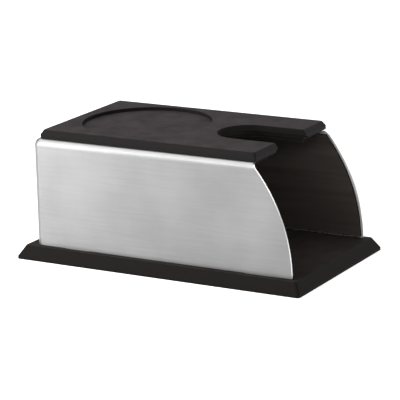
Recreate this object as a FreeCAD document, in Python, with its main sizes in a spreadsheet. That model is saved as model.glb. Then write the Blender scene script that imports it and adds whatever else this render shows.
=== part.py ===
"""Espresso tamping station: a folded steel stand with a silicone top mat and a silicone base.

Frame: millimetres, +Z up. The origin is at the centre of the base's underside. +X is the width and -Y is
the open front, where the portafilter goes in. Every solid is an object of the document, bound to the sheet.
"""
import FreeCAD, Part
import math
import os
import re
import Sketcher

doc = FreeCAD.newDocument("tamping_station")
sizes = doc.addObject("Spreadsheet::Sheet", "Sizes")

# ---- Driving dimensions, in millimetres ---------------------------------------------------------------

DIMENSIONS = [
    # base mat, the bevelled silicone foot
    ("base_length", 210.0),
    ("base_width", 121.0),
    ("base_height", 9.0),
    ("base_lip", 1.8),          # upright rim under the bevel
    ("base_bevel", 4.4),        # how far the bevel leans in
    ("base_corner", 1.8),
    ("base_round", 0.6),        # rounding of the bevel's top edge
    # ballast plate and the rubber pad under it
    ("plate_rim", 9.0),         # silicone left around the plate
    ("plate_thick", 2.5),
    ("plate_corner", 5.0),
    ("pad_thick", 1.5),
    ("pocket_clearance", 0.2),
    ("rib_pitch", 6.0),         # ribs across the pad's underside
    ("groove_width", 1.6),
    ("groove_depth", 0.6),
    ("pad_hole_radius", 5.0),
    # folded steel shell
    ("side_margin", 8.0),       # base left beside the shell
    ("body_top", 81.5),         # top of the steel above the counter
    ("rear_margin", 10.5),      # base left behind the shell
    ("front_margin", 8.9),      # base left in front of the shell's foot
    ("nose_setback", 28.1),     # how far the top's front edge lies behind the foot
    ("sheet_thick", 1.2),
    ("bend_radius", 4.8),       # outside of each bend
    ("shadow_gap", 0.2),        # between the sheet's lower edge and the base mat
    ("return_width", 12.0),     # return flanges around the rear opening
    # tabs that hold the shell down on the plate
    ("tab_width", 18.0),
    ("tab_reach", 13.0),
    ("tab_bend", 2.0),
    ("tab_clearance", 0.3),
    ("slot_clearance", 0.05),   # the silicone hugs the tabs where they pass down through it
    ("front_tab_from_foot", 24.0),
    ("rear_tab_from_rear", 32.0),
    ("panel_tab_x", 24.0),
    # top mat
    ("mat_thick", 5.6),
    ("mat_lip", 2.6),           # upright rim under the mat's bevel
    ("mat_bevel", 1.9),
    ("mat_side_inset", 2.55),   # mat's edge inside the steel's side
    ("mat_rear_inset", 4.6),
    ("mat_overhang", 2.5),      # how far the mat's front stands out over the steel
    ("mat_corner", 1.5),
    ("mat_round", 0.5),
    ("slot_radius", 20.0),      # half the fork's width
    ("slot_depth", 52.0),       # from the mat's front edge to the slot's closed end
    ("undercut_height", 1.4),   # step under the fork's wall, in its shadow
    ("lip_setback", 2.0),       # the lip stands back from the fork's wall
    ("lip_thick", 1.2),         # silicone lip that covers the steel's cut edge
    ("lip_clearance", 0.15),
    ("lip_side_inset", 4.0),
    ("seat_rim", 6.85),         # silicone left beside the round tamper seat
    ("seat_rear_rim", 9.6),     # and behind it
    ("seat_depth", 2.4),
    ("plug_radius", 3.0),
    ("plug_length", 4.0),
    ("plug_clearance", 0.25),
    ("plug_from_side", 9.95),
    ("plug_from_rear", 9.0),
    ("plug_spacing", 96.0),
    # black lining inside the shell
    ("liner_thick", 2.0),
    ("liner_gap", 0.5),         # adhesive pad between liner and steel
    ("liner_floor_gap", 1.6),
    ("liner_setback", 1.2),     # bare steel left along the arc-cut edge
    ("liner_joint", 0.2),
    ("rear_liner_gap", 2.6),
    ("liner_slot_margin", 1.0),
    ("tape_width", 12.0),
    # fasteners
    ("base_screw_radius", 1.95),
    ("base_screw_head", 3.9),
    ("base_screw_bore", 2.25),
    ("base_nut_radius", 3.6),
    ("base_nut_height", 2.0),
    ("base_nut_bore", 2.0),
    ("rear_screw_radius", 1.45),
    ("rear_screw_bore", 1.7),
    ("rear_head_radius", 2.85),
    ("rear_head_height", 1.65),
    ("rear_washer_radius", 3.5),
    ("rear_washer_thick", 0.5),
    ("rear_nut_radius", 2.8),
    ("rear_nut_height", 1.9),
    ("rear_nut_bore", 1.5),
    ("rear_screw_from_top", 10.0),
    ("rear_screw_from_base", 11.0),
    ("hex_share", 0.55),        # socket's width as a share of the head's radius
]


def fill_sheet():
    """Write each driving dimension as a plain number with a name."""
    for row, (alias, value) in enumerate(DIMENSIONS, start=1):
        sizes.set("A%d" % row, alias)
        sizes.set("B%d" % row, repr(value))
        sizes.setAlias("B%d" % row, alias)
    doc.recompute()


fill_sheet()

# ---- Named places, written as expressions of the sheet --------------------------------------------------

REAR = "(base_length / 2 - rear_margin)"
FOOT = "(front_margin - base_length / 2)"
NOSE = "(front_margin - base_length / 2 + nose_setback)"
SIDE = "(base_width / 2 - side_margin)"
INNER_SIDE = "(base_width / 2 - side_margin - sheet_thick)"
INNER_TOP = "(body_top - sheet_thick)"
SHELL_BOTTOM = "(base_height + shadow_gap)"
RISE = "(body_top - base_height)"
ARC_RADIUS = "((%s ^ 2 + nose_setback ^ 2) / (2 * nose_setback))" % RISE
ARC_CENTRE = "(%s + %s)" % (FOOT, ARC_RADIUS)
PLATE_BOTTOM = "pad_thick"
PLATE_TOP = "(pad_thick + plate_thick)"
TAB_TOP = "(pad_thick + plate_thick + sheet_thick)"
MAT_SIDE = "(base_width / 2 - side_margin - mat_side_inset)"
MAT_FRONT = "(%s - mat_overhang)" % NOSE
MAT_REAR = "(%s - mat_rear_inset)" % REAR
MAT_TOP = "(body_top + mat_thick)"
SLOT_CENTRE = "(%s + slot_depth - slot_radius)" % MAT_FRONT
SEAT_RADIUS = "(%s - seat_rim)" % MAT_SIDE
SEAT_CENTRE = "(%s - seat_rear_rim - %s)" % (MAT_REAR, SEAT_RADIUS)
STEEL_NOSE = "(%s + lip_thick + lip_clearance)" % NOSE
LIP_SLOT = "(slot_radius + lip_setback)"
STEEL_SLOT = "(%s + lip_thick + lip_clearance)" % LIP_SLOT
LIP_SIDE = "(%s - lip_side_inset)" % MAT_SIDE
LINER_OUT = "(%s - liner_gap)" % INNER_SIDE
LINER_IN = "(%s - liner_gap - liner_thick)" % INNER_SIDE
LINER_FLOOR = "(base_height + liner_floor_gap)"
TOP_LINER_TOP = "(%s - liner_gap)" % INNER_TOP
TOP_LINER_BOTTOM = "(%s - liner_gap - liner_thick)" % INNER_TOP
PANEL_OUT = "(%s - sheet_thick)" % REAR
PANEL_IN = "(%s - 2 * sheet_thick)" % REAR
PANEL_SIDE = "(%s - bend_radius - tab_clearance)" % SIDE
PANEL_TOP = "(body_top - bend_radius - tab_clearance)"
PANEL_BOTTOM = SHELL_BOTTOM
REAR_LINER_OUT = "(%s - rear_liner_gap)" % PANEL_IN
REAR_LINER_IN = "(%s - rear_liner_gap - liner_thick)" % PANEL_IN
REAR_SCREW_X = "((%s + %s - return_width) / 2)" % (PANEL_SIDE, SIDE)
TAB_MIDDLE = "(%s - (tab_reach + tab_bend) / 2)" % SIDE
FRONT_TAB = "(%s + front_tab_from_foot)" % FOOT
REAR_TAB = "(%s - rear_tab_from_rear)" % REAR
PANEL_TAB_MIDDLE = "(%s - (tab_reach + tab_bend) / 2)" % PANEL_OUT

SIDE_TABS = [(side, place) for side in (-1, 1) for place in (FRONT_TAB, REAR_TAB)]
BASE_SCREWS = [("%d * %s" % (side, TAB_MIDDLE), place) for side, place in SIDE_TABS]
BASE_SCREWS += [("%d * panel_tab_x" % side, PANEL_TAB_MIDDLE) for side in (-1, 1)]
REAR_SCREWS = [("%d * %s" % (side, REAR_SCREW_X), height) for side in (-1, 1)
               for height in ("body_top - rear_screw_from_top", "base_height + rear_screw_from_base")]
PLUG_REAR = "(%s - plug_from_rear)" % MAT_REAR
PLUG_SIDE = "(%s - plug_from_side)" % MAT_SIDE
PLUGS = [("%d * %s" % (side, PLUG_SIDE), place) for side in (-1, 1)
         for place in (PLUG_REAR, "(%s - plug_spacing)" % PLUG_REAR)]


def bound(text):
    """Point each name in an expression at its cell in the sheet."""
    return re.sub(r"\b([a-z]+(?:_[a-z]+)+)\b", r"Sizes.\1", text)


def value(text):
    """The number that an expression gives now."""
    return float(sizes.evalExpression(bound(text)))


# ---- Sketches ---------------------------------------------------------------------------------------------

def new_body(label):
    """An empty body whose label is the node's name."""
    body = doc.addObject("PartDesign::Body", label)
    body.Label = label
    body.AllowCompound = True
    return body


def new_sketch(body, plane, offset):
    """A sketch on one of the body's own origin planes, moved along the plane's normal."""
    sketch = body.newObject("Sketcher::SketchObject", body.Name + "_sketch")
    support = [item for item in body.Origin.OriginFeatures if item.Role == plane][0]
    sketch.AttachmentSupport = [(support, "")]
    sketch.MapMode = "FlatFace"
    sketch.setExpression("AttachmentOffset.Base.z", bound(offset))
    return sketch


def fix(sketch, kind, text, *where):
    """Add one dimension to a sketch and bind it to the sheet."""
    index = sketch.addConstraint(Sketcher.Constraint(kind, *where, value(text)))
    sketch.setExpression("Constraints[%d]" % index, bound(text))


def fix_point(sketch, geometry, end, place):
    """Hold one end of an edge, or a circle's centre, at a place measured from the origin."""
    fix(sketch, "DistanceX", place[0], -1, 1, geometry, end)
    fix(sketch, "DistanceY", place[1], -1, 1, geometry, end)


def arc_between(start, end, radius, turn):
    """The short arc from start to end. It is stored anticlockwise, as sketches store every arc."""
    chord = end - start
    lift = math.sqrt(max(radius ** 2 - (chord.Length / 2) ** 2, 0.0))
    left = FreeCAD.Vector(-chord.y, chord.x, 0).normalize()
    centre = (start + end) / 2 + left * lift * turn
    first, last = (start, end) if turn > 0 else (end, start)
    first_angle = math.atan2(first.y - centre.y, first.x - centre.x)
    last_angle = math.atan2(last.y - centre.y, last.x - centre.x)
    circle = Part.Circle(centre, FreeCAD.Vector(0, 0, 1), radius)
    return Part.ArcOfCircle(circle, first_angle, last_angle)


def add_outline(sketch, path):
    """Close a wire through the path's points.

    Each point is (x, y), reached by a straight edge, or (x, y, radius, turn), reached by an arc that turns
    left (1) or right (-1).
    """
    corners = [FreeCAD.Vector(value(point[0]), value(point[1]), 0) for point in path]
    ends = []
    for index, point in enumerate(path):
        start, end = corners[index - 1], corners[index]
        if len(point) == 2:
            edge = sketch.addGeometry(Part.LineSegment(start, end))
            ends.append((edge, 1, 2))
        else:
            edge = sketch.addGeometry(arc_between(start, end, value(point[2]), point[3]))
            ends.append((edge, 1, 2) if point[3] > 0 else (edge, 2, 1))
            fix(sketch, "Radius", point[2], edge)
    for index, point in enumerate(path):
        edge, _, end = ends[index]
        following, start, _ = ends[(index + 1) % len(path)]
        sketch.addConstraint(Sketcher.Constraint("Coincident", edge, end, following, start))
        fix_point(sketch, edge, end, point)


def rounded_rectangle(half_width, low, high, corner):
    """The path of a rectangle about x = 0 from y = low to y = high, with round corners."""
    inner = "(%s - %s)" % (half_width, corner)
    return [
        ("-" + inner, low), (inner, low), (half_width, "%s + %s" % (low, corner), corner, 1),
        (half_width, "%s - %s" % (high, corner)), (inner, high, corner, 1), ("-" + inner, high),
        ("-" + half_width, "%s - %s" % (high, corner), corner, 1),
        ("-" + half_width, "%s + %s" % (low, corner)), ("-" + inner, low, corner, 1),
    ][1:]


def rectangle(left, right, low, high):
    """The path of a plain rectangle."""
    return [(left, low), (right, low), (right, high), (left, high)]


def slot_end(radius, turn):
    """The path's points round the slot's closed end: to the right side (turn -1) or the left side (turn 1)."""
    far_side = radius if turn < 0 else "-" + radius
    return [("0", "%s + %s" % (SLOT_CENTRE, radius), radius, turn), (far_side, SLOT_CENTRE, radius, turn)]


def fork_outline(radius):
    """The fork's open U, run out past the mat's front edge."""
    ahead = "(%s - slot_radius)" % MAT_FRONT
    return [("-" + radius, ahead), (radius, ahead), (radius, SLOT_CENTRE), *slot_end(radius, 1)]


def add_circles(sketch, places, radius):
    """One circle at each place, all of one radius."""
    for place in places:
        centre = FreeCAD.Vector(value(place[0]), value(place[1]), 0)
        circle = sketch.addGeometry(Part.Circle(centre, FreeCAD.Vector(0, 0, 1), value(radius)))
        fix(sketch, "Radius", radius, circle)
        fix_point(sketch, circle, 3, place)


def add_hexagons(sketch, places, radius):
    """One hexagon at each place, with its corners on a circle of the radius."""
    for x, y in places:
        turns = [math.radians(60 * corner) for corner in range(6)]
        add_outline(sketch, [("%s + %s * %.6f" % (x, radius, math.cos(turn)),
                              "%s + %s * %.6f" % (y, radius, math.sin(turn))) for turn in turns])


# ---- Features ---------------------------------------------------------------------------------------------

def pad(body, sketch, length, reverse=False):
    """Grow the body from a sketch."""
    feature = body.newObject("PartDesign::Pad", body.Name + "_pad")
    feature.Profile = sketch
    feature.setExpression("Length", bound(length))
    feature.Reversed = reverse
    doc.recompute()
    return feature


def pocket(body, sketch, length, reverse=False, both_ways=False):
    """Cut a sketch out of the body, and stop if nothing was cut."""
    before = body.Shape.Volume
    feature = body.newObject("PartDesign::Pocket", body.Name + "_pocket")
    feature.Profile = sketch
    feature.setExpression("Length", bound(length))
    feature.Reversed = reverse
    feature.Midplane = both_ways
    doc.recompute()
    if body.Shape.Volume > before - 0.001:
        raise RuntimeError("%s: a pocket cut nothing" % body.Label)
    return feature


def loft(body, low, high):
    """Grow the body between two sketches."""
    feature = body.newObject("PartDesign::AdditiveLoft", body.Name + "_loft")
    feature.Profile = low
    feature.Sections = [high]
    feature.Ruled = True
    doc.recompute()
    return feature


def edges_where(body, test):
    """The names of the edges whose every sampled point passes the test."""
    names = []
    for index, edge in enumerate(body.Shape.Edges, start=1):
        if all(test(point) for point in edge.discretize(5)):
            names.append("Edge%d" % index)
    return names


def soften(body, radius, test):
    """Round the edges that pass the test."""
    base = body.Tip
    edges = edges_where(body, test)
    feature = body.newObject("PartDesign::Fillet", body.Name + "_fillet")
    feature.Base = (base, edges)
    feature.setExpression("Radius", bound(radius))
    doc.recompute()
    return feature


def near(number, target):
    """Whether two lengths agree to a hundredth of a millimetre."""
    return abs(number - target) < 0.01


def at_height(height):
    """A test for points at one height."""
    level = value(height)
    return lambda point: near(point.z, level)


def pad_outline(body, plane, offset, path, length, reverse=False):
    """Sketch a closed path and pad it."""
    sketch = new_sketch(body, plane, offset)
    add_outline(sketch, path)
    return pad(body, sketch, length, reverse)


def cut_outline(body, plane, offset, path, length, reverse=False, both_ways=False):
    """Sketch a closed path and cut it out."""
    sketch = new_sketch(body, plane, offset)
    add_outline(sketch, path)
    return pocket(body, sketch, length, reverse, both_ways)


def pad_circles(body, plane, offset, places, radius, length, reverse=False, bore=None):
    """Pad a row of discs, or of rings if a bore is given."""
    sketch = new_sketch(body, plane, offset)
    add_circles(sketch, places, radius)
    if bore:
        add_circles(sketch, places, bore)
    return pad(body, sketch, length, reverse)


def cut_circles(body, plane, offset, places, radius, length, reverse=False):
    """Cut a row of round holes."""
    sketch = new_sketch(body, plane, offset)
    add_circles(sketch, places, radius)
    return pocket(body, sketch, length, reverse)


# ---- Base ---------------------------------------------------------------------------------------------------

def base_outline(inset, corner):
    """The base's plan, moved in from its rim."""
    end = "(base_length / 2 - %s)" % inset
    return rounded_rectangle("(base_width / 2 - %s)" % inset, "-" + end, end, corner)


def tab_pocket(side, place, clearance):
    """The plan of the room for one side tab's foot."""
    outer = "(%s + %s)" % (SIDE, clearance)
    inner = "(%s - tab_reach - %s)" % (SIDE, clearance)
    left, right = (inner, outer) if side > 0 else ("-" + outer, "-" + inner)
    half = "(tab_width / 2 + %s)" % clearance
    return rectangle(left, right, "%s - %s" % (place, half), "%s + %s" % (place, half))


def tab_slot(side, place):
    """The plan of the slot that lets one side tab down through the silicone."""
    outer = "(%s + slot_clearance)" % SIDE
    inner = "(%s - tab_clearance)" % INNER_SIDE
    left, right = (inner, outer) if side > 0 else ("-" + outer, "-" + inner)
    half = "(tab_width / 2 + slot_clearance)"
    return rectangle(left, right, "%s - %s" % (place, half), "%s + %s" % (place, half))


def panel_tab_span(side, clearance):
    """The two x limits of one tab of the rear panel."""
    middle = "%d * panel_tab_x" % side
    half = "(tab_width / 2 + %s)" % clearance
    return "%s - %s" % (middle, half), "%s + %s" % (middle, half)


def make_base_mat():
    """Moulded silicone foot: bevelled all round, with a pocket underneath for the ballast plate."""
    body = new_body("base_mat")
    pad_outline(body, "XY_Plane", "0", base_outline("0", "base_corner"), "base_lip")
    low = new_sketch(body, "XY_Plane", "base_lip")
    add_outline(low, base_outline("0", "base_corner"))
    high = new_sketch(body, "XY_Plane", "base_height")
    add_outline(high, base_outline("base_bevel", "base_corner"))
    loft(body, low, high)
    soften(body, "base_round", at_height("base_height"))
    rim = "(plate_rim - pocket_clearance)"
    cut_outline(body, "XY_Plane", "0", base_outline(rim, "plate_corner"), PLATE_TOP, reverse=True)
    foot_depth = "sheet_thick + tab_clearance"
    for side, place in SIDE_TABS:
        cut_outline(body, "XY_Plane", PLATE_TOP, tab_pocket(side, place, "tab_clearance"), foot_depth, True)
        cut_outline(body, "XY_Plane", PLATE_TOP, tab_slot(side, place), "base_height", True)
    for side in (-1, 1):
        left, right = panel_tab_span(side, "tab_clearance")
        front = "%s - tab_reach - tab_clearance" % PANEL_OUT
        back = "%s + tab_clearance" % PANEL_OUT
        slot_front = "%s - tab_clearance" % PANEL_IN
        cut_outline(body, "XY_Plane", PLATE_TOP, rectangle(left, right, front, back), foot_depth, True)
        cut_outline(body, "XY_Plane", PLATE_TOP, rectangle(left, right, slot_front, back), "base_height", True)
    nut_room = "(base_nut_radius + tab_clearance)"
    nut_depth = "sheet_thick + base_nut_height + tab_clearance"
    cut_circles(body, "XY_Plane", PLATE_TOP, BASE_SCREWS, nut_room, nut_depth, True)
    return body


def make_base_plate():
    """Steel ballast plate that the whole shell is screwed to, with countersunk holes."""
    body = new_body("base_plate")
    pad_outline(body, "XY_Plane", PLATE_BOTTOM, base_outline("plate_rim", "plate_corner"), "plate_thick")
    cut_circles(body, "XY_Plane", PLATE_BOTTOM, BASE_SCREWS, "base_screw_bore", "plate_thick", True)
    bore = value("base_screw_bore")
    level = value(PLATE_BOTTOM)
    centres = [(value(x), value(y)) for x, y in BASE_SCREWS]

    def on_bore(point):
        reach = min(math.hypot(point.x - x, point.y - y) for x, y in centres)
        return near(point.z, level) and near(reach, bore)

    base = body.Tip
    edges = edges_where(body, on_bore)
    sink = body.newObject("PartDesign::Chamfer", "base_plate_countersinks")
    sink.Base = (base, edges)
    sink.setExpression("Size", bound("base_screw_head + 0.1 - base_screw_bore"))
    doc.recompute()
    return body


def make_anti_slip_pad():
    """Rubber pad under the plate, level with the mat's rim, ribbed across, with a window at each screw."""
    body = new_body("anti_slip_pad")
    pad_outline(body, "XY_Plane", "0", base_outline("plate_rim", "plate_corner"), "pad_thick")
    first = "(plate_rim + rib_pitch - base_length / 2)"
    run = "(base_length - 2 * plate_rim - 2 * rib_pitch - groove_width)"
    steps = "floor(%s / rib_pitch)" % run
    groove = new_sketch(body, "XY_Plane", "0")
    add_outline(groove, rectangle("-base_width / 2", "base_width / 2", first, "%s + groove_width" % first))
    cut = pocket(body, groove, "groove_depth", True)
    ribs = body.newObject("PartDesign::LinearPattern", "anti_slip_pad_ribs")
    ribs.Originals = [cut]
    ribs.Direction = (groove, ["V_Axis"])
    ribs.setExpression("Length", bound("%s * rib_pitch" % steps))
    ribs.setExpression("Occurrences", bound("%s + 1" % steps))
    body.Tip = ribs
    doc.recompute()
    cut_circles(body, "XY_Plane", "0", BASE_SCREWS, "pad_hole_radius", "pad_thick", True)
    return body


# ---- Steel --------------------------------------------------------------------------------------------------

def side_tab_profile(side):
    """The L section of one side tab, down through the silicone and in over the plate."""
    sign = "" if side > 0 else "-"
    turn = -side
    inner_bend = "(tab_bend - sheet_thick)"
    toe = "%s(%s - tab_reach)" % (sign, SIDE)
    heel = "%s(%s - tab_bend)" % (sign, SIDE)
    outer = sign + SIDE
    inner = sign + INNER_SIDE
    root = "%s + sheet_thick" % SHELL_BOTTOM
    return [
        (inner, root), (outer, root), (outer, "%s + tab_bend" % PLATE_TOP),
        (heel, PLATE_TOP, "tab_bend", turn), (toe, PLATE_TOP), (toe, TAB_TOP), (heel, TAB_TOP),
        (inner, "%s + %s" % (TAB_TOP, inner_bend), inner_bend, -turn),
    ]


def panel_tab_profile():
    """The L section of the rear panel's tabs, in the YZ plane, turned towards the front."""
    inner_bend = "(tab_bend - sheet_thick)"
    toe = "%s - tab_reach" % PANEL_OUT
    heel = "%s - tab_bend" % PANEL_OUT
    root = "%s + sheet_thick" % PANEL_BOTTOM
    return [
        (PANEL_IN, root), (PANEL_OUT, root), (PANEL_OUT, "%s + tab_bend" % PLATE_TOP),
        (heel, PLATE_TOP, "tab_bend", -1), (toe, PLATE_TOP), (toe, TAB_TOP), (heel, TAB_TOP),
        (PANEL_IN, "%s + %s" % (TAB_TOP, inner_bend), inner_bend, 1),
    ]


def hollow_shell(body):
    """Turn the solid block into bent sheet, open at the front and underneath."""
    front = value(FOOT)
    bottom = value(SHELL_BOTTOM)
    faces = []
    for index, face in enumerate(body.Shape.Faces, start=1):
        box = face.BoundBox
        if box.YLength < 0.01 and near(box.YMin, front):
            faces.append("Face%d" % index)
        if box.ZLength < 0.01 and near(box.ZMin, bottom):
            faces.append("Face%d" % index)
    base = body.Tip
    skin = body.newObject("PartDesign::Thickness", "outer_shell_skin")
    skin.Base = (base, faces)
    skin.setExpression("Value", bound("sheet_thick"))
    skin.Reversed = True
    skin.Join = 1
    doc.recompute()


def make_outer_shell():
    """One folded sheet: top, sides and return flanges, with arc-cut front edges and a forked top."""
    body = new_body("outer_shell")
    plan = rectangle("-" + SIDE, SIDE, FOOT, REAR)
    pad_outline(body, "XY_Plane", SHELL_BOTTOM, plan, "body_top - %s" % SHELL_BOTTOM)
    side, rear, top = value(SIDE), value(REAR), value("body_top")

    def on_bend(point):
        walls = [near(abs(point.x), side), near(point.y, rear), near(point.z, top)]
        return sum(walls) >= 2

    soften(body, "bend_radius", on_bend)
    hollow_shell(body)
    window = "(%s - return_width)" % SIDE
    window_top = "body_top - return_width"
    cut_outline(body, "XZ_Plane", "-" + PANEL_IN,
                rectangle("-" + window, window, "base_height - 1", window_top), "return_width")
    ahead = "(%s - nose_setback)" % FOOT
    above = "(body_top + nose_setback)"
    arc_cut = [(ahead, "base_height"), (FOOT, "base_height"), (NOSE, "body_top", ARC_RADIUS, -1),
               (NOSE, above), (ahead, above)]
    cut_outline(body, "YZ_Plane", "0", arc_cut, "base_width * 2", both_ways=True)
    fork = [
        ("-" + LIP_SIDE, ahead), (LIP_SIDE, ahead), (LIP_SIDE, STEEL_NOSE), (STEEL_SLOT, STEEL_NOSE),
        (STEEL_SLOT, SLOT_CENTRE), *slot_end(STEEL_SLOT, 1),
        ("-" + STEEL_SLOT, STEEL_NOSE), ("-" + LIP_SIDE, STEEL_NOSE),
    ]
    cut_outline(body, "XY_Plane", "%s - bend_radius" % INNER_TOP, fork, "bend_radius * 3", True)
    cut_circles(body, "XY_Plane", INNER_TOP, PLUGS, "plug_radius + plug_clearance", "sheet_thick", True)
    cut_circles(body, "XZ_Plane", "-" + REAR, REAR_SCREWS, "rear_screw_bore", "sheet_thick", True)
    for tab_side, place in SIDE_TABS:
        sketch = new_sketch(body, "XZ_Plane", "-(%s + tab_width / 2)" % place)
        add_outline(sketch, side_tab_profile(tab_side))
        pad(body, sketch, "tab_width")
    side_screws = BASE_SCREWS[:len(SIDE_TABS)]
    cut_circles(body, "XY_Plane", PLATE_TOP, side_screws, "base_screw_bore", "sheet_thick", True)
    return body


def make_rear_panel():
    """Steel panel behind the return flanges, with two tabs down to the plate."""
    body = new_body("rear_panel")
    face = rectangle("-" + PANEL_SIDE, PANEL_SIDE, PANEL_BOTTOM, PANEL_TOP)
    pad_outline(body, "XZ_Plane", "-" + PANEL_OUT, face, "sheet_thick")
    for side in (-1, 1):
        left = panel_tab_span(side, "0")[0]
        pad_outline(body, "YZ_Plane", left, panel_tab_profile(), "tab_width")
    cut_circles(body, "XY_Plane", PLATE_TOP, BASE_SCREWS[len(SIDE_TABS):], "base_screw_bore",
                "sheet_thick", True)
    cut_circles(body, "XZ_Plane", "-" + PANEL_OUT, REAR_SCREWS, "rear_screw_bore", "sheet_thick", True)
    return body


# ---- Lining -------------------------------------------------------------------------------------------------

def liner_edge(height):
    """How far forward the side lining reaches at one height, a set distance behind the steel's arc."""
    reach = "(%s - liner_setback)" % ARC_RADIUS
    return "(%s - sqrt(%s ^ 2 - (%s - base_height) ^ 2))" % (ARC_CENTRE, reach, height)


def make_side_liner(label, side):
    """Black side lining, cut to the same arc as the steel."""
    body = new_body(label)
    top = "(%s - bend_radius / 2)" % TOP_LINER_TOP
    path = [
        (REAR_LINER_OUT, LINER_FLOOR), (REAR_LINER_OUT, top), (liner_edge(top), top),
        (liner_edge(LINER_FLOOR), LINER_FLOOR, "%s - liner_setback" % ARC_RADIUS, 1),
    ]
    start = LINER_IN if side > 0 else "-" + LINER_OUT
    pad_outline(body, "YZ_Plane", start, path, "liner_thick")
    return body


def make_top_liner():
    """Black lining under the steel top, cut back around the fork and the mat's plugs."""
    body = new_body("top_liner")
    half = "(%s - liner_joint)" % LINER_IN
    slot = "(%s + liner_slot_margin)" % STEEL_SLOT
    front = "(%s + liner_slot_margin)" % STEEL_NOSE
    back = "(%s - liner_joint)" % REAR_LINER_OUT
    path = [
        (slot, front), (half, front), (half, back), ("-" + half, back), ("-" + half, front),
        ("-" + slot, front), ("-" + slot, SLOT_CENTRE), *slot_end(slot, -1),
    ]
    pad_outline(body, "XY_Plane", TOP_LINER_BOTTOM, path, "liner_thick")
    cut_circles(body, "XY_Plane", TOP_LINER_BOTTOM, PLUGS, "plug_radius + 4 * plug_clearance",
                "liner_thick", True)
    return body


def make_rear_liner():
    """Black lining in front of the rear panel."""
    body = new_body("rear_liner")
    half = "(%s - liner_joint)" % LINER_IN
    path = rectangle("-" + half, half, LINER_FLOOR, "%s - liner_joint" % TOP_LINER_BOTTOM)
    pad_outline(body, "XZ_Plane", "-" + REAR_LINER_OUT, path, "liner_thick")
    return body


def make_side_tape(label, side):
    """Three adhesive strips between one side lining and the steel."""
    body = new_body(label)
    start = LINER_OUT if side > 0 else "-" + INNER_SIDE
    sketch = new_sketch(body, "YZ_Plane", start)
    low = "%s + tape_width / 2" % LINER_FLOOR
    high = "%s - tape_width / 2 - bend_radius" % TOP_LINER_BOTTOM
    front = "%s + tape_width" % NOSE
    back = "%s - tape_width" % REAR_LINER_OUT
    for place in (front, "(%s + %s) / 2" % (NOSE, REAR_LINER_OUT), back):
        add_outline(sketch, rectangle("%s - tape_width / 2" % place, "%s + tape_width / 2" % place, low, high))
    pad(body, sketch, "liner_gap")
    return body


def make_top_tape():
    """Two adhesive strips between the top lining and the steel."""
    body = new_body("top_tape")
    sketch = new_sketch(body, "XY_Plane", TOP_LINER_TOP)
    half = "(%s - bend_radius - tape_width / 2)" % LINER_IN
    middle = "(%s + slot_radius + tape_width)" % SLOT_CENTRE
    for place in ("%s + tape_width" % middle, "%s - 2 * tape_width" % PLUG_REAR):
        add_outline(sketch, rectangle("-" + half, half, "%s - tape_width / 2" % place,
                                      "%s + tape_width / 2" % place))
    pad(body, sketch, "liner_gap")
    return body


def make_rear_tape():
    """Two foam adhesive strips between the rear lining and the panel."""
    body = new_body("rear_tape")
    sketch = new_sketch(body, "XZ_Plane", "-" + PANEL_IN)
    low = "%s + tape_width" % PANEL_BOTTOM
    high = "%s - tape_width" % PANEL_TOP
    for side in (-1, 1):
        place = "%d * panel_tab_x" % side
        add_outline(sketch, rectangle("%s - tape_width / 2" % place, "%s + tape_width / 2" % place, low, high))
    pad(body, sketch, "rear_liner_gap")
    return body


# ---- Top mat ------------------------------------------------------------------------------------------------

def mat_outline(inset, corner):
    """The mat's plan, moved in from its rim."""
    half = "(%s - %s)" % (MAT_SIDE, inset)
    return rounded_rectangle(half, "(%s + %s)" % (MAT_FRONT, inset), "(%s - %s)" % (MAT_REAR, inset), corner)


def make_top_mat():
    """Moulded silicone mat: bevelled rim, round seat, forked front with a lip, and four locating plugs."""
    body = new_body("top_mat")
    pad_outline(body, "XY_Plane", "body_top", mat_outline("0", "mat_corner"), "mat_lip")
    low = new_sketch(body, "XY_Plane", "body_top + mat_lip")
    add_outline(low, mat_outline("0", "mat_corner"))
    high = new_sketch(body, "XY_Plane", MAT_TOP)
    add_outline(high, mat_outline("mat_bevel", "mat_corner"))
    loft(body, low, high)
    cut_outline(body, "XY_Plane", MAT_TOP, fork_outline("slot_radius"), "mat_thick")
    cut_circles(body, "XY_Plane", MAT_TOP, [("0", SEAT_CENTRE)], SEAT_RADIUS, "seat_depth")
    soften(body, "mat_round", at_height(MAT_TOP))
    cut_outline(body, "XY_Plane", "body_top", fork_outline(LIP_SLOT), "undercut_height", True)
    edge = "(%s + lip_thick)" % LIP_SLOT
    lip_back = "(%s + lip_thick)" % NOSE
    lip = [
        ("-" + LIP_SLOT, NOSE), ("-" + LIP_SLOT, SLOT_CENTRE), *slot_end(LIP_SLOT, -1),
        (LIP_SLOT, NOSE), ("%s - lip_clearance" % LIP_SIDE, NOSE),
        ("%s - lip_clearance" % LIP_SIDE, lip_back), (edge, lip_back), (edge, SLOT_CENTRE),
        *slot_end(edge, 1), ("-" + edge, lip_back),
        ("-(%s - lip_clearance)" % LIP_SIDE, lip_back), ("-(%s - lip_clearance)" % LIP_SIDE, NOSE),
    ]
    pad_outline(body, "XY_Plane", "body_top", lip, "sheet_thick", True)
    pad_circles(body, "XY_Plane", "body_top", PLUGS, "plug_radius", "plug_length", True)
    return body


# ---- Fasteners ----------------------------------------------------------------------------------------------

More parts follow.
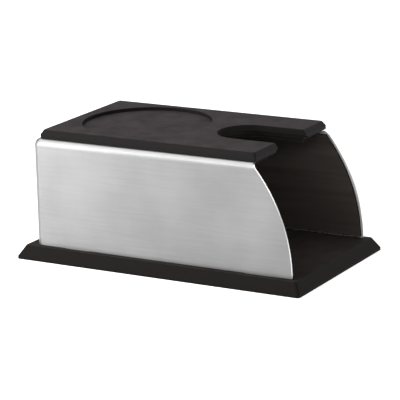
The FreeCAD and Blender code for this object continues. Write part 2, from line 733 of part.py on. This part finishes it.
def make_base_screws():
    """Countersunk screws, put in from below: heads in the plate, threads in the clinch nuts."""
    body = new_body("base_screws")
    head_height = "(base_screw_head - base_screw_radius)"
    low = new_sketch(body, "XY_Plane", PLATE_BOTTOM)
    add_circles(low, BASE_SCREWS, "base_screw_head")
    head = pad(body, low, head_height)
    head.TaperAngle = -45
    doc.recompute()
    pad_circles(body, "XY_Plane", PLATE_BOTTOM, BASE_SCREWS, "base_screw_radius",
                "plate_thick + sheet_thick + base_nut_height")
    socket = new_sketch(body, "XY_Plane", PLATE_BOTTOM)
    add_hexagons(socket, BASE_SCREWS, "base_screw_radius * 0.75")
    pocket(body, socket, "plate_thick / 2", True)
    return body


def make_flange_nuts():
    """Round clinch nuts pressed onto the tabs."""
    body = new_body("flange_nuts")
    pad_circles(body, "XY_Plane", TAB_TOP, BASE_SCREWS, "base_nut_radius", "base_nut_height",
                bore="base_nut_bore")
    return body


def make_rear_screws():
    """Button-head screws through the return flanges and the rear panel."""
    body = new_body("rear_screws")
    seat = "-(%s + rear_washer_thick)" % REAR
    pad_circles(body, "XZ_Plane", seat, REAR_SCREWS, "rear_head_radius", "rear_head_height", True)
    crown = value("%s + rear_washer_thick + rear_head_height" % REAR)
    soften(body, "rear_head_height * 0.6", lambda point: near(point.y, crown))
    pad_circles(body, "XZ_Plane", seat, REAR_SCREWS, "rear_screw_radius",
                "rear_washer_thick + 2 * sheet_thick + rear_nut_height")
    socket = new_sketch(body, "XZ_Plane", "-(%s + rear_washer_thick + rear_head_height)" % REAR)
    add_hexagons(socket, REAR_SCREWS, "rear_head_radius * hex_share")
    pocket(body, socket, "rear_head_height * 0.7", True)
    return body


def make_rear_washers():
    """Nylon washers that keep the screw heads off the brushed steel."""
    body = new_body("rear_washers")
    pad_circles(body, "XZ_Plane", "-" + REAR, REAR_SCREWS, "rear_washer_radius", "rear_washer_thick", True,
                bore="rear_screw_bore")
    return body


def make_rear_nuts():
    """Round clinch nuts on the inside of the rear panel."""
    body = new_body("rear_nuts")
    pad_circles(body, "XZ_Plane", "-" + PANEL_IN, REAR_SCREWS, "rear_nut_radius", "rear_nut_height",
                bore="rear_nut_bore")
    return body


# ---- Build, check and write ------------------------------------------------------------------------------------

def check_document(parts):
    """Stop if any object failed, or if any part has no valid shape."""
    for item in doc.Objects:
        if "Invalid" in item.State or "Error" in item.State:
            raise RuntimeError("%s failed: %s" % (item.Label, item.State))
    for part in parts:
        if part.Shape.isNull() or not part.Shape.isValid() or not part.Shape.Solids:
            raise RuntimeError("%s has no valid solid" % part.Label)


def main():
    parts = [
        make_base_mat(), make_base_plate(), make_anti_slip_pad(),
        make_outer_shell(), make_rear_panel(),
        make_side_liner("left_liner", -1), make_side_liner("right_liner", 1),
        make_top_liner(), make_rear_liner(),
        make_side_tape("left_tape", -1), make_side_tape("right_tape", 1), make_top_tape(), make_rear_tape(),
        make_top_mat(),
        make_base_screws(), make_flange_nuts(),
        make_rear_screws(), make_rear_washers(), make_rear_nuts(),
    ]
    doc.recompute()
    check_document(parts)
    os.makedirs("parts", exist_ok=True)
    for part in parts:
        part.Shape.exportStep("parts/%s.step" % part.Label)
        box = part.Shape.BoundBox
        print("%-14s %2d solids %10.1f mm3  x %.2f..%.2f  y %.2f..%.2f  z %.2f..%.2f" % (
            part.Label, len(part.Shape.Solids), part.Shape.Volume,
            box.XMin, box.XMax, box.YMin, box.YMax, box.ZMin, box.ZMax))


main()
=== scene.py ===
import math

import bpy
from mathutils import Matrix, Vector


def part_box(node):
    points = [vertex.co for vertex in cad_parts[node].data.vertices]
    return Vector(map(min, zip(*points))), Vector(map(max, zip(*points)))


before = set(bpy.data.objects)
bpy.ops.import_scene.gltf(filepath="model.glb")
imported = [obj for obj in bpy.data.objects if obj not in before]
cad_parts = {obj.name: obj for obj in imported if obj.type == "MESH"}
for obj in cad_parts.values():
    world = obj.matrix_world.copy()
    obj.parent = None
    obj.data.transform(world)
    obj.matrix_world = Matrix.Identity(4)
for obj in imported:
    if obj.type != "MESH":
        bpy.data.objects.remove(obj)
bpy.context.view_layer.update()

# ---- Ballast plate and pad -----------------------------------------------------------------------
# A 2.5 mm steel plate weighs the foot down, and a ribbed pad of moulded rubber under it grips the counter.
# The plate is powder-coated black, which leaves fine pebbles with a soft shine. The rubber is dull all over.


def linear(hex_code):
    """An sRGB hex colour as linear RGBA."""
    channels = [int(hex_code[i:i + 2], 16) / 255 for i in (1, 3, 5)]
    return [c / 12.92 if c <= 0.04045 else ((c + 0.055) / 1.055) ** 2.4 for c in channels] + [1.0]


def add(tree, kind, inputs=None, **settings):
    """Add one shader node. An input is given a value, or the socket that feeds it."""
    made = tree.nodes.new(kind)
    for key, setting in settings.items():
        setattr(made, key, setting)
    for key, given in (inputs or {}).items():
        if isinstance(given, bpy.types.NodeSocket):
            tree.links.new(given, made.inputs[key])
        else:
            made.inputs[key].default_value = given
    return made


def new_material(name):
    """An empty material with a Principled shader on its output."""
    made = bpy.data.materials.new(name)
    made.use_nodes = True
    tree = made.node_tree
    tree.nodes.clear()
    shader = add(tree, "ShaderNodeBsdfPrincipled")
    add(tree, "ShaderNodeOutputMaterial", {"Surface": shader.outputs["BSDF"]})
    return made, tree, shader


def per_metre(millimetres):
    """How many features of that size fit in a metre."""
    return 1000 / millimetres


def dress(node, material):
    """Give one frame node its finish, with smooth bends and crisp corners."""
    crisp_from = math.radians(28)
    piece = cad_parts[node]
    piece.data.materials.clear()
    piece.data.materials.append(material)
    piece.data.polygons.foreach_set("use_smooth", [True] * len(piece.data.polygons))
    piece.data.set_sharp_from_angle(angle=crisp_from)


def plain_finish(name, body_hex, roughness, metallic, grain_mm, strength):
    """A grained surface with a slightly uneven tone. A grain too fine to show is drawn coarser."""
    made, tree, shader = new_material(name)
    place = add(tree, "ShaderNodeTexCoord").outputs["Object"]
    grain = add(tree, "ShaderNodeTexNoise", {"Vector": place, "Scale": per_metre(grain_mm), "Detail": 3.0})
    shade = add(tree, "ShaderNodeMapRange", {"Value": grain.outputs["Fac"], "To Min": 0.8, "To Max": 1.0})
    tone = add(tree, "ShaderNodeMix", {"Factor": shade.outputs["Result"], "A": linear("#000000"),
                                       "B": linear(body_hex)}, data_type="RGBA")
    tree.links.new(tone.outputs[2], shader.inputs["Base Color"])
    rough = add(tree, "ShaderNodeMapRange", {"Value": grain.outputs["Fac"], "To Min": roughness - 0.06,
                                             "To Max": roughness + 0.06})
    tree.links.new(rough.outputs["Result"], shader.inputs["Roughness"])
    bump = add(tree, "ShaderNodeBump", {"Height": grain.outputs["Fac"], "Strength": strength,
                                        "Distance": 0.0001})
    tree.links.new(bump.outputs["Normal"], shader.inputs["Normal"])
    shader.inputs["Metallic"].default_value = metallic
    return made


powder_coat = plain_finish("black_powder_coat", "#2C2C2E", 0.45, 0.0, 0.5, 0.4)
pad_rubber = plain_finish("black_pad_rubber", "#242424", 0.8, 0.0, 0.6, 0.5)
dress("base_plate", powder_coat)
dress("anti_slip_pad", pad_rubber)

# ---- Base mat ------------------------------------------------------------------------------------
# A thick foot of black silicone rubber, moulded in a spark-eroded tool and held between the shell and the
# plate. The tool's fine grain scatters light, so the rubber looks matte. Its level faces are painted greyer
# than the upright ones, partly for a dusty haze and partly as a painted sheen.


def moulded_silicone(name, body_hex, dust_and_sheen_hex, grain_mm, gloss):
    """Matte moulded silicone, painted greyer where the surface is level: partly dust, partly painted sheen.
    """
    dust_and_sheen_from = 0.6             # a normal's Z above this starts to take dust and painted sheen
    dust_and_sheen_full = 0.98            # a normal's Z above this holds all of it
    made, tree, shader = new_material(name)
    place = add(tree, "ShaderNodeTexCoord").outputs["Object"]
    # real grain is near 0.1 mm; drawn coarser so that it shows
    grain = add(tree, "ShaderNodeTexNoise", {"Vector": place, "Scale": per_metre(grain_mm), "Detail": 3.0,
                                             "Roughness": 0.6}).outputs["Fac"]
    cloud = add(tree, "ShaderNodeTexNoise", {"Vector": place, "Scale": per_metre(14), "Detail": 5.0,
                                             "Roughness": 0.62}).outputs["Fac"]
    normal = add(tree, "ShaderNodeNewGeometry").outputs["Normal"]
    upward = add(tree, "ShaderNodeSeparateXYZ", {"Vector": normal}).outputs["Z"]
    level = add(tree, "ShaderNodeMapRange", {"Value": upward, "From Min": dust_and_sheen_from, "From Max": dust_and_sheen_full},
                interpolation_type="SMOOTHSTEP").outputs["Result"]
    patchiness = add(tree, "ShaderNodeMapRange", {"Value": cloud, "From Min": 0.3, "From Max": 0.7,
                                               "To Min": 0.42, "To Max": 1.2}).outputs["Result"]
    speckled = add(tree, "ShaderNodeMapRange", {"Value": grain, "From Min": 0.3, "From Max": 0.7,
                                                "To Min": 0.5, "To Max": 1.25}).outputs["Result"]
    # dust and painted sheen: level faces are mixed toward the lighter grey, in patches
    dust_and_sheen = add(tree, "ShaderNodeMath", {0: level, 1: patchiness}, operation="MULTIPLY").outputs[0]
    dust_and_sheen = add(tree, "ShaderNodeMath", {0: dust_and_sheen, 1: speckled}, operation="MULTIPLY").outputs[0]
    tone = add(tree, "ShaderNodeMix", {"Factor": dust_and_sheen, "A": linear(body_hex), "B": linear(dust_and_sheen_hex)},
               data_type="RGBA").outputs[2]
    tree.links.new(tone, shader.inputs["Base Color"])
    rough = add(tree, "ShaderNodeMapRange", {"Value": grain, "To Min": 0.58,
                                             "To Max": 0.76}).outputs["Result"]
    tree.links.new(rough, shader.inputs["Roughness"])
    bump = add(tree, "ShaderNodeBump", {"Height": grain, "Strength": 0.3, "Distance": 0.00012})
    tree.links.new(bump.outputs["Normal"], shader.inputs["Normal"])
    shader.inputs["IOR"].default_value = 1.41
    shader.inputs["Specular IOR Level"].default_value = gloss
    return made


base_silicone = moulded_silicone("moulded_silicone_base", "#120F0D", "#2E2826", 0.8, 0.1)
dress("base_mat", base_silicone)

# ---- Steel shell ---------------------------------------------------------------------------------
# 1.2 mm stainless sheet, belt-brushed along the blank before it was folded. The brushing leaves long hair
# lines that run front to back on the sides and top, so each bend shows one long bright streak. The cut edges
# are ground along the arcs, with a dull ground band just inside them; both are painted near white, partly for
# the bare ground metal and partly as a painted highlight. The cut edges under the mat are painted near black
# as painted shade.

sheet_thick = 0.0012
shell_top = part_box("outer_shell")[1].z


def brushed_steel(name, light_hex, dark_hex, ground_and_highlight_hex, painted_shade_hex, roughness, top_sheet_from):
    """Stainless sheet with hair lines that turn with its bends.

    Above top_sheet_from, in metres, the upright faces are the cut edges under the mat, painted dark as shade.
    """
    faces_rear = 0.7            # a normal's Y above this is on the rear panel or the flanges
    faces_front = -0.12         # a normal's Y below this leans to the open front, as the cut edges do
    faces_side = 0.8            # a normal's X beyond this is on a side, in or out
    faces_inward = -0.03        # a normal's X times the place's X, in metres, below this is inside
    upright_up_to = 0.3         # a normal's Z within this is on an upright face
    ground_roughness = 0.95
    made, tree, shader = new_material(name)
    place = add(tree, "ShaderNodeTexCoord").outputs["Object"]
    spot = add(tree, "ShaderNodeSeparateXYZ", {"Vector": place})
    normal = add(tree, "ShaderNodeNewGeometry").outputs["Normal"]
    facing = add(tree, "ShaderNodeSeparateXYZ", {"Vector": normal})
    rear = add(tree, "ShaderNodeMath", {0: facing.outputs["Y"], 1: faces_rear},
               operation="GREATER_THAN").outputs[0]
    front = add(tree, "ShaderNodeMath", {0: 1.0, 1: rear}, operation="SUBTRACT").outputs[0]

    out_x = add(tree, "ShaderNodeMath", {0: spot.outputs["X"]}, operation="ABSOLUTE").outputs[0]
    out_x = add(tree, "ShaderNodeMath", {0: out_x, 1: front}, operation="MULTIPLY").outputs[0]
    across = add(tree, "ShaderNodeMath", {0: spot.outputs["Z"], 1: out_x}, operation="SUBTRACT").outputs[0]
    along = add(tree, "ShaderNodeMath", {0: spot.outputs["X"], 1: spot.outputs["Y"]},
                operation="ADD").outputs[0]
    sheet = add(tree, "ShaderNodeCombineXYZ", {"X": across, "Y": along}).outputs[0]

    def hair_lines(width_mm, length_mm, detail):
        """Noise drawn out along the sheet."""
        stretch = (per_metre(width_mm), per_metre(length_mm), 1.0)
        scaled = add(tree, "ShaderNodeMapping", {"Vector": sheet, "Scale": stretch})
        return add(tree, "ShaderNodeTexNoise", {"Vector": scaled.outputs[0], "Scale": 1.0, "Detail": detail,
                                                "Roughness": 0.7}).outputs["Fac"]

    fine = hair_lines(0.5, 45, 3.0)      # real hair lines are near 0.1 mm; drawn coarser so that they show
    strokes = hair_lines(1.8, 50, 2.0)
    cloud = add(tree, "ShaderNodeTexNoise", {"Vector": place, "Scale": per_metre(45),
                                             "Detail": 3.0}).outputs["Fac"]
    mixed = add(tree, "ShaderNodeMix", {"Factor": 0.7, "A": fine, "B": strokes},
                data_type="FLOAT").outputs[0]
    mixed = add(tree, "ShaderNodeMix", {"Factor": 0.66, "A": mixed, "B": cloud},
                data_type="FLOAT").outputs[0]
    spread = add(tree, "ShaderNodeMapRange", {"Value": mixed, "From Min": 0.3,
                                              "From Max": 0.7}).outputs["Result"]
    tone = add(tree, "ShaderNodeMix", {"Factor": spread, "A": linear(dark_hex), "B": linear(light_hex)},
               data_type="RGBA").outputs[2]

    # painted highlight: the cut edges and the band inside them are mixed toward near white, partly for ground
    # metal
    sideways = add(tree, "ShaderNodeMath", {0: facing.outputs["X"]}, operation="ABSOLUTE").outputs[0]
    off_side = add(tree, "ShaderNodeMath", {0: sideways, 1: faces_side}, operation="LESS_THAN").outputs[0]
    forward = add(tree, "ShaderNodeMath", {0: facing.outputs["Y"], 1: faces_front},
                  operation="LESS_THAN").outputs[0]
    cut_edge = add(tree, "ShaderNodeMath", {0: forward, 1: off_side}, operation="MULTIPLY").outputs[0]
    inward = add(tree, "ShaderNodeMath", {0: facing.outputs["X"], 1: spot.outputs["X"]},
                 operation="MULTIPLY").outputs[0]
    inner_band = add(tree, "ShaderNodeMath", {0: inward, 1: faces_inward}, operation="LESS_THAN").outputs[0]
    ground_and_highlight = add(tree, "ShaderNodeMath", {0: cut_edge, 1: inner_band}, operation="MAXIMUM").outputs[0]
    tone = add(tree, "ShaderNodeMix", {"Factor": ground_and_highlight, "A": tone, "B": linear(ground_and_highlight_hex)},
               data_type="RGBA").outputs[2]

    # painted shade: the upright cut edges under the mat are mixed toward near black
    tilt = add(tree, "ShaderNodeMath", {0: facing.outputs["Z"]}, operation="ABSOLUTE").outputs[0]
    upright = add(tree, "ShaderNodeMath", {0: tilt, 1: upright_up_to}, operation="LESS_THAN").outputs[0]
    under_mat = add(tree, "ShaderNodeMath", {0: spot.outputs["Z"], 1: top_sheet_from},
                    operation="GREATER_THAN").outputs[0]
    painted_shade = add(tree, "ShaderNodeMath", {0: upright, 1: under_mat}, operation="MULTIPLY").outputs[0]
    tone = add(tree, "ShaderNodeMix", {"Factor": painted_shade, "A": tone, "B": linear(painted_shade_hex)},
               data_type="RGBA").outputs[2]
    tree.links.new(tone, shader.inputs["Base Color"])

    rough = add(tree, "ShaderNodeMapRange", {"Value": fine, "From Min": 0.3, "From Max": 0.7,
                                             "To Min": roughness - 0.015,
                                             "To Max": roughness + 0.02}).outputs["Result"]
    rough = add(tree, "ShaderNodeMix", {"Factor": inner_band, "A": rough, "B": ground_roughness},
                data_type="FLOAT").outputs[0]
    tree.links.new(rough, shader.inputs["Roughness"])
    bump = add(tree, "ShaderNodeBump", {"Height": fine, "Strength": 0.06, "Distance": 0.0001})
    tree.links.new(bump.outputs["Normal"], shader.inputs["Normal"])

    lines_run = add(tree, "ShaderNodeCombineXYZ", {"X": rear, "Y": front}).outputs[0]
    smear = add(tree, "ShaderNodeVectorMath", {0: normal, 1: lines_run},
                operation="CROSS_PRODUCT").outputs[0]
    smear = add(tree, "ShaderNodeVectorMath", {0: smear}, operation="NORMALIZE").outputs[0]
    tree.links.new(smear, shader.inputs["Tangent"])
    shader.inputs["Metallic"].default_value = 1.0
    shader.inputs["Anisotropic"].default_value = 0.75
    return made


brushed_sheet = brushed_steel("brushed_stainless_sheet", "#8A8A8A", "#787878", "#F0F0EF", "#151312", 0.36,
                              shell_top - sheet_thick)
dress("outer_shell", brushed_sheet)

# ---- Rear panel ----------------------------------------------------------------------------------
# The same brushed stainless sheet, cut to a plain panel with two bent tabs at its foot. It closes the back
# and is screwed on behind the shell's return flanges.

dress("rear_panel", brushed_sheet)

# ---- Black lining and tapes ----------------------------------------------------------------------
# Four panels of 2 mm black ABS sheet, cut to shape and stuck inside the steel with strips of foam tape.
# Extruded sheet has a satin face with faint drawn lines along its length, and the saw leaves its edges dull;
# those edges are painted darker too, as painted shade.
# The foam's small cells make it dull all over.


def extruded_abs(name, body_hex, drawn_hex, sawn_and_shaded_hex, face):
    """Satin black sheet with faint drawn lines, and dull sawn edges that are painted darker as shade."""
    made, tree, shader = new_material(name)
    broad_from = 0.5            # a normal's share along the sheet's thickness; below it lies a sawn edge
    sawn_roughness = 0.95
    face_gloss = 0.55
    edge_gloss = 0.05
    coordinates = add(tree, "ShaderNodeTexCoord")
    place = coordinates.outputs["Object"]
    # real drawn lines are near 0.2 mm wide; drawn coarser so that they show
    stretch = (per_metre(1.8), per_metre(60), per_metre(1.8))
    drawn = add(tree, "ShaderNodeMapping", {"Vector": place, "Scale": stretch}).outputs[0]
    noise = add(tree, "ShaderNodeTexNoise", {"Vector": drawn, "Scale": 1.0, "Detail": 3.0}).outputs["Fac"]
    lines = add(tree, "ShaderNodeMapRange", {"Value": noise, "From Min": 0.3,
                                             "From Max": 0.7}).outputs["Result"]
    tone = add(tree, "ShaderNodeMix", {"Factor": lines, "A": linear(body_hex), "B": linear(drawn_hex)},
               data_type="RGBA").outputs[2]
    # painted shade: the sawn edges are mixed toward a darker colour than the faces
    sawn_and_shaded = add(tree, "ShaderNodeTexNoise", {"Vector": place, "Scale": per_metre(0.8),
                                            "Detail": 2.0}).outputs["Fac"]
    sawn_and_shaded = add(tree, "ShaderNodeMix", {"Factor": sawn_and_shaded, "A": linear(body_hex), "B": linear(sawn_and_shaded_hex)},
               data_type="RGBA").outputs[2]

    facing = add(tree, "ShaderNodeSeparateXYZ", {"Vector": coordinates.outputs["Normal"]})
    broad = add(tree, "ShaderNodeMath", {0: facing.outputs[face]}, operation="ABSOLUTE").outputs[0]
    edge = add(tree, "ShaderNodeMath", {0: broad, 1: broad_from}, operation="LESS_THAN").outputs[0]
    tone = add(tree, "ShaderNodeMix", {"Factor": edge, "A": tone, "B": sawn_and_shaded}, data_type="RGBA").outputs[2]
    tree.links.new(tone, shader.inputs["Base Color"])

    rough = add(tree, "ShaderNodeMapRange", {"Value": noise, "To Min": 0.36,
                                             "To Max": 0.56}).outputs["Result"]
    rough = add(tree, "ShaderNodeMix", {"Factor": edge, "A": rough, "B": sawn_roughness},
                data_type="FLOAT").outputs[0]
    tree.links.new(rough, shader.inputs["Roughness"])
    gloss = add(tree, "ShaderNodeMath", {0: edge, 1: edge_gloss - face_gloss, 2: face_gloss},
                operation="MULTIPLY_ADD").outputs[0]
    tree.links.new(gloss, shader.inputs["Specular IOR Level"])
    bump = add(tree, "ShaderNodeBump", {"Height": lines, "Strength": 0.1, "Distance": 0.0001})
    tree.links.new(bump.outputs["Normal"], shader.inputs["Normal"])
    shader.inputs["IOR"].default_value = 1.52
    return made


for liner, face in (("left_liner", "X"), ("right_liner", "X"), ("top_liner", "Z"), ("rear_liner", "Y")):
    sheet = extruded_abs("extruded_abs_" + liner, "#272220", "#332D2A", "#0C0A09", face)
    dress(liner, sheet)

foam = plain_finish("foam_tape", "#4A4A4A", 0.9, 0.0, 0.5, 0.6)
for tape in ("left_tape", "right_tape", "top_tape", "rear_tape"):
    dress(tape, foam)

# ---- Screws, washers and clinch nuts -------------------------------------------------------------
# The foot's screws and all the clinch nuts are zinc-plated steel, bright with a faint haze. The rear panel's
# screws are turned from stainless steel, which shines more, and bear on washers of moulded black nylon with
# a soft gloss.

zinc_plate = plain_finish("bright_zinc_plate", "#C4C4BE", 0.3, 1.0, 0.8, 0.15)
turned_steel = plain_finish("turned_stainless", "#CFCFCF", 0.22, 1.0, 0.3, 0.1)
nylon = plain_finish("moulded_nylon", "#1F1F1F", 0.5, 0.0, 0.4, 0.2)
for fastener in ("base_screws", "flange_nuts", "rear_nuts"):
    dress(fastener, zinc_plate)
dress("rear_screws", turned_steel)
dress("rear_washers", nylon)

# ---- Top mat -------------------------------------------------------------------------------------
# One piece of the same silicone, moulded with a round seat and a fork. It lies loose on the steel, with a lip
# in the fork and four plugs in the sheet. A coarser grain, more dust and a lighter painted sheen on its level
# faces make it greyer than the foot.

top_silicone = moulded_silicone("moulded_silicone_top", "#110E0D", "#373134", 1.1, 0.17)
dress("top_mat", top_silicone)

# ---- Floor, light and camera ---------------------------------------------------------------------
# A white light table under soft studio light, and a long lens three quarters from the left front. The world's
# even white fills the shadows.

floor_mesh = bpy.data.meshes.new("studio_floor")
reach = 12.0
floor_mesh.from_pydata([(-reach, -reach, 0), (reach, -reach, 0), (reach, reach, 0), (-reach, reach, 0)], [],
                       [(0, 1, 2, 3)])
floor = bpy.data.objects.new("studio_floor", floor_mesh)
bpy.context.scene.collection.objects.link(floor)
paper, _, paper_shader = new_material("white_paper")
paper_shader.inputs["Base Color"].default_value = linear("#FAFAFA")
paper_shader.inputs["Roughness"].default_value = 0.9
paper_shader.inputs["Emission Color"].default_value = linear("#FFFFFF")
paper_shader.inputs["Emission Strength"].default_value = 0.45
floor_mesh.materials.append(paper)

world = bpy.data.worlds.new("studio")
world.use_nodes = True
world.node_tree.nodes["Background"].inputs["Color"].default_value = linear("#FFFFFF")
world.node_tree.nodes["Background"].inputs["Strength"].default_value = 0.5
bpy.context.scene.world = world


def soft_box(name, place, target, width, height, power):
    """A rectangular studio light, aimed at a point."""
    lamp = bpy.data.lights.new(name, "AREA")
    lamp.shape = "RECTANGLE"
    lamp.size = width
    lamp.size_y = height
    lamp.energy = power
    light = bpy.data.objects.new(name, lamp)
    light.location = place
    light.rotation_euler = (Vector(target) - Vector(place)).to_track_quat("-Z", "Y").to_euler()
    bpy.context.scene.collection.objects.link(light)


soft_box("overhead_box", (-0.35, 0.55, 1.0), (-0.35, 0.551, 0.0), 1.1, 0.7, 8.2)
soft_box("shoulder_box", (-0.95, 0.62, 0.62), (0, 0.04, 0.08), 0.7, 0.5, 6.6)
soft_box("left_box", (-0.62, 0.6, 0.2), (0, 0, 0.05), 0.3, 0.3, 2.7)
soft_box("rear_box", (-0.35, 1.15, 0.35), (0, 0, 0.05), 1.2, 0.4, 3.2)
soft_box("front_box", (-0.5, -1.15, 0.3), (0, 0, 0.05), 0.5, 0.5, 1.6)
soft_box("key_box", (-1.0, -0.72, 0.78), (0, -0.03, 0.08), 0.12, 0.12, 3.0)
soft_box("right_box", (1.0, -0.45, 0.42), (0, 0, 0.05), 0.5, 0.5, 2.0)

azimuth = math.radians(-60.26)
elevation = math.radians(14.94)
roll = math.radians(-1.39)
distance = 1.507
look_height = 0.045
aim_right = 0.0015
aim_up = -0.0076
back = Vector((math.sin(azimuth) * math.cos(elevation), -math.cos(azimuth) * math.cos(elevation),
               math.sin(elevation)))
level_right = (-back).cross(Vector((0, 0, 1))).normalized()
level_up = level_right.cross(-back)
right = math.cos(roll) * level_right + math.sin(roll) * level_up
up = math.cos(roll) * level_up - math.sin(roll) * level_right
lens = bpy.data.cameras.new("camera")
lens.lens = 205.5
lens.sensor_width = 36.0
camera = bpy.data.objects.new("camera", lens)
station = back * distance + right * aim_right + up * aim_up + Vector((0, 0, look_height))
turned = Matrix((right, up, back)).transposed().to_4x4()
camera.matrix_world = Matrix.Translation(station) @ turned
bpy.context.scene.collection.objects.link(camera)
bpy.context.scene.camera = camera
bpy.context.scene.view_settings.view_transform = "Standard"
